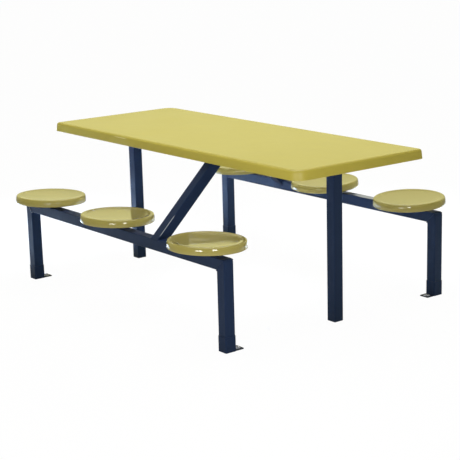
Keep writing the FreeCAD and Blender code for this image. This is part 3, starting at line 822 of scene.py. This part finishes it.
def seat_section():
    """Section of a seat as (radius, height) pairs: its outside from the middle, and its back."""
    up = math.pi / 2
    low = seat_low - RIM_DROP
    rise, fall = math.sin(RIM_ABOVE), math.sin(RIM_BELOW)
    bulge = seat_high - low - SEAT_LIP * (1 - rise) - SEAT_SKIRT * (1 - fall)
    bulge /= rise + fall
    belly = (seat_radius - bulge, low + SEAT_SKIRT * (1 - fall) + bulge * fall)
    lip = arc(belly, bulge - SEAT_LIP, RIM_ABOVE, RIM_ABOVE, 1)[0]
    skirt = arc(belly, bulge - SEAT_SKIRT, -RIM_BELOW, -RIM_BELOW, 1)[0]
    bowl_r = lip[0] - SEAT_SLOPE
    hollow = (bowl_r ** 2 + SEAT_BOWL ** 2) / (2 * SEAT_BOWL)
    start = math.asin(bowl_r / hollow)
    bend = SEAT_SLOPE / (2 * math.sin(SEAT_STEEP) - math.sin(start))
    crest = (lip[0], seat_high - bend)
    edge = arc(crest, bend, up + SEAT_STEEP, up + SEAT_STEEP, 1)[0]
    trough = (edge[0] - bend * math.sin(SEAT_STEEP), edge[1] + bend * math.cos(SEAT_STEEP))
    bowl_z = trough[1] - bend * math.cos(start)
    bowl = (0.0, bowl_z + hollow * math.cos(start))
    outer = arc(bowl, hollow, HUB_SHARE * start - up, start - up, 14)
    outer += arc(trough, bend, start - up, SEAT_STEEP - up, 8)[1:]
    outer += arc(crest, bend, up + SEAT_STEEP, up, 8)[1:]
    outer += arc(lip, SEAT_LIP, up, RIM_ABOVE, 12)[1:]
    outer += arc(belly, bulge, RIM_ABOVE, -RIM_BELOW, 14)[1:]
    outer += arc(skirt, SEAT_SKIRT, -RIM_BELOW, -up, 7)[1:]
    inner = arc(belly, bulge - SEAT_WALL, -RIM_BELOW, RIM_ABOVE, 8)
    inner += arc(lip, SEAT_LIP - SEAT_WALL, RIM_ABOVE, up, 4)[1:]
    inner += arc(crest, bend - SEAT_WALL, up, up + SEAT_STEEP, 6)[1:]
    inner += arc(trough, bend + SEAT_WALL, SEAT_STEEP - up, start - up, 6)[1:]
    inner += arc(bowl, hollow + SEAT_WALL, start - up, HUB_SHARE * start - up, 8)[1:]
    return outer, inner


# %% Build the seats
outer, inner = seat_section()
print("seat section:", len(outer), "points outside,", len(inner), "inside")
spin = [2 * math.pi * i / SEAT_STEPS for i in range(SEAT_STEPS)]
for joint in frame["joints"]:
    body = joint["child"]
    out_of = seat_frame(joint)
    rings = [[Vector((r * math.cos(a), r * math.sin(a), z)) for a in spin] for r, z in outer + inner]
    points, faces = loft(rings)
    backs = range(len(outer) * SEAT_STEPS, len(faces) + SEAT_STEPS)
    last = len(points) - SEAT_STEPS
    for first, z in ((last, inner[-1][1]), (0, outer[0][1])):
        points.append(Vector((0.0, 0.0, z)))
        middle = len(points) - 1
        faces += [(middle, first + k, first + (k + 1) % SEAT_STEPS) for k in range(SEAT_STEPS)]
    points = [out_of @ point for point in points]
    name = body.replace("seat_", "swivel_seat_")
    seat = add_piece(name, points, faces, body, [seat_gelcoat, laminate], backs)
    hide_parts(body.replace("seat_", "seat_shell_"))

# %% [markdown]
# ## Weld beads
#
# The frame is welded before it is painted, so the beads have the paint of the tubes. A bead is a row
# of small ripples, one for each drop of metal. A bump in the paint would look flat from the side, so
# the beads are meshes. Each is lofted along its seam: every ring is a small round section, and its
# size swells and shrinks along the way.

# %% Stations along a seam
BEAD_RADIUS = 0.0026
BEAD_RIPPLE = 0.0042
BEAD_SIDES = 10


def stations_along(path, closed):
    """Points along straight runs, several to a ripple, with the distance travelled to each."""
    corners = [Vector(p) for p in path]
    ends = corners[1:] + corners[:1] if closed else corners[1:]
    stations = []
    travelled = 0.0
    for start, end in zip(corners, ends):
        length = (end - start).length
        steps = max(2, round(length / BEAD_RIPPLE * 5))
        stations += [(start.lerp(end, i / steps), travelled + length * i / steps) for i in range(steps)]
        travelled += length
    if not closed:
        stations.append((ends[-1], travelled))
    return stations


# %% Loft a bead
def bead(path, closed=False, radius=BEAD_RADIUS):
    """Points and faces of a weld bead along a path of straight runs."""
    stations = stations_along(path, closed)
    count = len(stations)
    turns = [2 * math.pi * k / BEAD_SIDES for k in range(BEAD_SIDES)]
    rings = []
    across = None
    for i, (point, distance) in enumerate(stations):
        before = stations[i - 1][0] if closed else stations[max(i - 1, 0)][0]
        after = stations[(i + 1) % count][0] if closed else stations[min(i + 1, count - 1)][0]
        along = (after - before).normalized()
        across = across or along.orthogonal()
        across = (across - along * across.dot(along)).normalized()
        other = along.cross(across)
        phase = distance / BEAD_RIPPLE % 1.0
        swell = radius * (0.86 + 0.2 * math.sqrt(1.0 - (2 * phase - 1) ** 2))
        if not closed and i in (0, count - 1):
            swell *= 0.4
        rings.append([point + swell * (across * math.cos(a) + other * math.sin(a)) for a in turns])
    points, faces = loft(rings, loop=closed)
    if not closed:
        last = len(points) - BEAD_SIDES
        faces.append(tuple(range(BEAD_SIDES)))
        faces.append(tuple(last + k for k in range(BEAD_SIDES)))
    return points, faces


# %% Lay beads along several seams
def gather(parts):
    """One list of points and faces from several."""
    points = []
    faces = []
    for more_points, more_faces in parts:
        base = len(points)
        points += more_points
        faces += [tuple(base + k for k in face) for face in more_faces]
    return points, faces


def lay(name, paths, closed, radius=BEAD_RADIUS):
    """Piece of beads along several paths."""
    points, faces = gather([bead(path, closed, radius) for path in paths])
    add_piece(name, points, faces, "frame", [navy_paint])


def both_sides(path):
    """A path on the front half of the table, and the same path turned half round to the rear."""
    return [path, [(-x, -y, z) for x, y, z in path]]


# %% [markdown]
# ### Mitred corners
#
# A seat frame is a beam and two legs, cut at 45 degrees and welded all round the cut. The seam is a
# rectangle that stands on the slant. Its corners lie on the rounded bends, so they are drawn in by
# what a bend takes off its corner. These beads are ground down, so they are thinner than the rest.

# %% Mitred corners
MITRE_RADIUS = 0.0020
BEND_OUTER = 0.014
BEND_INNER = 0.008
CUT_SHARE = 1 - math.sqrt(0.5)

leg_low, leg_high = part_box("seat_leg_front_right")
tube = beam_high.y - beam_low.y
print("tube:", round(1000 * tube, 1), "mm square")


def mitre_path(side):
    """Seam round the mitred corner of the front seat frame."""
    out_x = leg_high.x - BEND_OUTER * CUT_SHARE
    out_z = beam_high.z - BEND_OUTER * CUT_SHARE
    in_x = leg_high.x - tube - BEND_INNER * CUT_SHARE
    in_z = beam_high.z - tube - BEND_INNER * CUT_SHARE
    outline = []
    for x, z, y in ((out_x, out_z, 0), (out_x, out_z, 1), (in_x, in_z, 1), (in_x, in_z, 0)):
        outline.append((side * x, beam_low.y + y * tube, z))
    return outline


mitres = [path for side in (-1, 1) for path in both_sides(mitre_path(side))]
lay("weld_beads_mitres", mitres, True, MITRE_RADIUS)

# %% [markdown]
# ### Braces and posts
#
# A brace sits on the top and on the inner side of its beam, so its seam goes over that edge and is left
# open in front. Its head and the heads of the posts butt against the rails from below, and their seams
# are level rectangles. Only the front brace is drawn. The rear one is the same turned half round.

# %% Braces and posts
left_x, right_x = brace_low.x, brace_high.x
front_y, back_y, top_z = beam_low.y, beam_high.y, beam_high.z
foot = [(right_x, front_y, top_z), (right_x, back_y, top_z), (right_x, back_y, brace_low.z)]
foot += [(left_x, back_y, brace_low.z), (left_x, back_y, top_z), (left_x, front_y, top_z)]
lay("weld_beads_brace_feet", both_sides(foot), False)


def square(low, high, z):
    """Path round a level rectangle."""
    return [(low.x, low.y, z), (high.x, low.y, z), (high.x, high.y, z), (low.x, high.y, z)]


rail_low, rail_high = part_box("long_rail_front")
head_low = Vector((brace_low.x, rail_low.y))
heads = both_sides(square(head_low, brace_high, rail_low.z))
for post in ("post_left", "post_right"):
    post_low, post_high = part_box(post)
    heads.append(square(post_low, post_high, post_high.z))
lay("weld_beads_heads", heads, True)

# %% [markdown]
# ### Cross rails and swivel bases
#
# The cross rails butt against the long rails. Their tops lie under the board, so each end is welded
# down one side, underneath and up the other. A swivel base is a round plate on the flat of the beam.
# It is wider than the beam, so it is welded along the two edges of the beam that pass under it.

# %% Cross rails and swivel bases
THIN_RADIUS = 0.0022
BASE_SINK = 0.0005

ends = []
for name in ("left_post", "right_post", "front_brace", "rear_brace"):
    low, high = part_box("cross_rail_" + name)
    for y in (low.y, high.y):
        ends.append([(low.x, y, high.z), (low.x, y, low.z), (high.x, y, low.z), (high.x, y, high.z)])
lay("weld_beads_rails", ends, False, THIN_RADIUS)

seams = []
for joint in frame["joints"]:
    x, y, z = joint["pos_m"]
    low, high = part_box(joint["child"].replace("seat_", "swivel_base_"))
    half_y = math.copysign(1.0, y)
    for edge in (half_y * abs(front_y), half_y * abs(back_y)):
        half = math.sqrt((high.x - low.x) ** 2 / 4 - (edge - (low.y + high.y) / 2) ** 2)
        seams.append([(x - half, edge, top_z - BASE_SINK), (x + half, edge, top_z - BASE_SINK)])
lay("weld_beads_bases", seams, False, THIN_RADIUS)

# %% [markdown]
# ## Studio
#
# The table stands on a pale floor that runs out of sight. In the picture the floor is white. A strong
# lamp could bleach it, but that would bleach the table as well. So for rays from the camera the floor
# glows at strength one, with a share of plain diffuse paint left in, which keeps the shadow. For rays
# that mirror or pass through a surface it glows less.

# %% Floor
FLOOR_REACH = 80.0
CAMERA_SHARE = 0.98
MIRROR_SHARE = 0.2

floor_mesh = bpy.data.meshes.new("floor")
signs = ((-1, -1), (1, -1), (1, 1), (-1, 1))
corners = [(x * FLOOR_REACH, y * FLOOR_REACH, 0) for x, y in signs]
floor_mesh.from_pydata(corners, [], [(0, 1, 2, 3)])
floor = bpy.data.objects.new("floor", floor_mesh)
bpy.context.scene.collection.objects.link(floor)
floor_paint = bpy.data.materials.new("floor_paint")
floor_paint.use_nodes = True
tree = floor_paint.node_tree
tree.nodes.clear()
paint = node(tree, "BsdfDiffuse", {"Color": (0.80, 0.80, 0.80, 1.0)})
glow = node(tree, "Emission", {"Color": (1.0, 1.0, 1.0, 1.0), "Strength": 1.0})
ray = node(tree, "LightPath").outputs
mirror = node(tree, "Math", {0: ray["Is Glossy Ray"], 1: ray["Is Transmission Ray"]}, operation="MAXIMUM")
mirrored = node(tree, "Math", {0: mirror.outputs[0], 1: MIRROR_SHARE}, operation="MULTIPLY")
direct = node(tree, "Math", {0: ray["Is Camera Ray"], 1: CAMERA_SHARE}, operation="MULTIPLY")
share = node(tree, "Math", {0: mirrored.outputs[0], 1: direct.outputs[0]}, operation="MAXIMUM")
mixed = node(tree, "MixShader", {0: share.outputs[0], 1: paint.outputs[0], 2: glow.outputs[0]})
node(tree, "OutputMaterial", {"Surface": mixed.outputs[0]})
floor_mesh.materials.append(floor_paint)
print("floor:", 2 * FLOOR_REACH, "m wide, finish", floor_paint.name)

# %% [markdown]
# ### Sky
#
# The light is a soft warm sky, bright low down and dark overhead. The glossy seats mirror that low sky
# under the top, and the edge of the top in front of it. It is dimmer on the side of the camera, as in
# a room with its windows behind the table. The camera itself sees white all round.

# %% Sky
AWAY_FROM_CAMERA = (-0.79, 0.61, 0.0)

world = bpy.data.worlds.new("studio_sky")
bpy.context.scene.world = world
world.use_nodes = True
tree = world.node_tree
direction = node(tree, "TexCoord").outputs["Generated"]
height = node(tree, "SeparateXYZ", {0: direction}).outputs["Z"]
sky = node(tree, "ValToRGB", {0: height})
ramp = sky.color_ramp
ramp.elements[0].position = 0.40
ramp.elements[0].color = (0.95, 0.92, 0.46, 1.0)
ramp.elements[1].position = 0.72
ramp.elements[1].color = (0.06, 0.06, 0.06, 1.0)
facing = node(tree, "VectorMath", {0: direction, 1: AWAY_FROM_CAMERA}, operation="DOT_PRODUCT")
dimmed = node(tree, "MapRange", {0: facing.outputs["Value"], 1: -0.4, 2: 0.5, 3: 0.5, 4: 1.0})
lit = tree.nodes["Background"]
tree.links.new(sky.outputs[0], lit.inputs["Color"])
tree.links.new(dimmed.outputs[0], lit.inputs["Strength"])
blank = node(tree, "Background", {"Color": (1.0, 1.0, 1.0, 1.0), "Strength": 1.0})
seen = node(tree, "LightPath").outputs["Is Camera Ray"]
mixed = node(tree, "MixShader", {0: seen, 1: lit.outputs[0], 2: blank.outputs[0]})
tree.links.new(mixed.outputs[0], tree.nodes["World Output"].inputs["Surface"])
print("sky:", world.name)

# %% [markdown]
# ### Lamps
#
# One wide lamp hangs above. Two low, flat lamps beside the camera put the paired glints on the rims of
# the seats, because a round rim shows a lamp as a short bright dash. Three lamps face the floor and
# lighten it where the tubes mirror it. A narrow spread keeps those off the table.

# %% Lamps
COOL = (0.75, 0.86, 1.0)
BLUE = (0.52, 0.70, 1.0)
NARROW = 60.0


def lamp(name, place_at, aim, size, power, colour=(1.0, 1.0, 1.0), spread=180.0):
    """Area lamp of a width and a height that faces a point."""
    light = bpy.data.lights.new(name, "AREA")
    light.shape = "RECTANGLE"
    light.size, light.size_y = size
    light.energy = power
    light.color = colour
    light.spread = math.radians(spread)
    made = bpy.data.objects.new(name, light)
    made.location = place_at
    made.rotation_euler = (Vector(aim) - made.location).to_track_quat("-Z", "Y").to_euler()
    made.visible_camera = False
    bpy.context.scene.collection.objects.link(made)


table_middle = (0.0, 0.0, 0.5)
seat_row = (0.0, -0.6, 0.45)
lamp("overhead", (0.0, 0.0, 4.0), table_middle, (3.4, 3.4), 128.0)
lamp("front_left", (1.9, -2.8, 0.80), seat_row, (0.95, 0.27), 17.0)
lamp("front_right", (2.2, -1.05, 0.80), seat_row, (0.40, 0.27), 7.0)
lamp("left_wash", (-1.8, -0.25, 1.1), (-1.8, -0.25, 0.0), (0.8, 1.3), 84.0, BLUE, NARROW)
lamp("back_wash", (0.0, 1.6, 1.7), (0.0, 1.6, 0.0), (1.8, 0.5), 30.0, COOL, NARROW)
lamp("under_wash", (0.05, 0.0, 0.69), (0.05, 0.0, 0.0), (0.6, 0.3), 4.0, COOL, NARROW)

# %% [markdown]
# ## Camera
#
# The camera stands where the photograph was taken from. It could be moved by eye until the pictures
# agree. Here its place, aim and focal length were fitted to the edges of the top, the legs and the
# seats, which is closer.

# %% Camera
CAMERA_PLACE = Vector((4.9535, -3.8065, 1.7726))
CAMERA_YAW = math.radians(52.33)
CAMERA_PITCH = math.radians(13.44)
CAMERA_ROLL = math.radians(-1.53)
SENSOR_WIDTH = 36.0
PICTURE_WIDTH = 460
FOCAL_SHARE = 1320.78 / PICTURE_WIDTH

camera_data = bpy.data.cameras.new("camera")
camera_data.sensor_width = SENSOR_WIDTH
camera_data.lens = FOCAL_SHARE * SENSOR_WIDTH
camera = bpy.data.objects.new("camera", camera_data)
forward = Vector(
    (
        -math.sin(CAMERA_YAW) * math.cos(CAMERA_PITCH),
        math.cos(CAMERA_YAW) * math.cos(CAMERA_PITCH),
        -math.sin(CAMERA_PITCH),
    )
)
level = Vector((math.cos(CAMERA_YAW), math.sin(CAMERA_YAW), 0.0))
upright = level.cross(forward)
right = level * math.cos(CAMERA_ROLL) + upright * math.sin(CAMERA_ROLL)
up = upright * math.cos(CAMERA_ROLL) - level * math.sin(CAMERA_ROLL)
camera.matrix_world = Matrix.Translation(CAMERA_PLACE) @ Matrix((right, up, -forward)).transposed().to_4x4()
bpy.context.scene.collection.objects.link(camera)
bpy.context.scene.camera = camera
bpy.context.scene.view_settings.view_transform = "Standard"
print("lens:", round(camera_data.lens, 2), "mm")
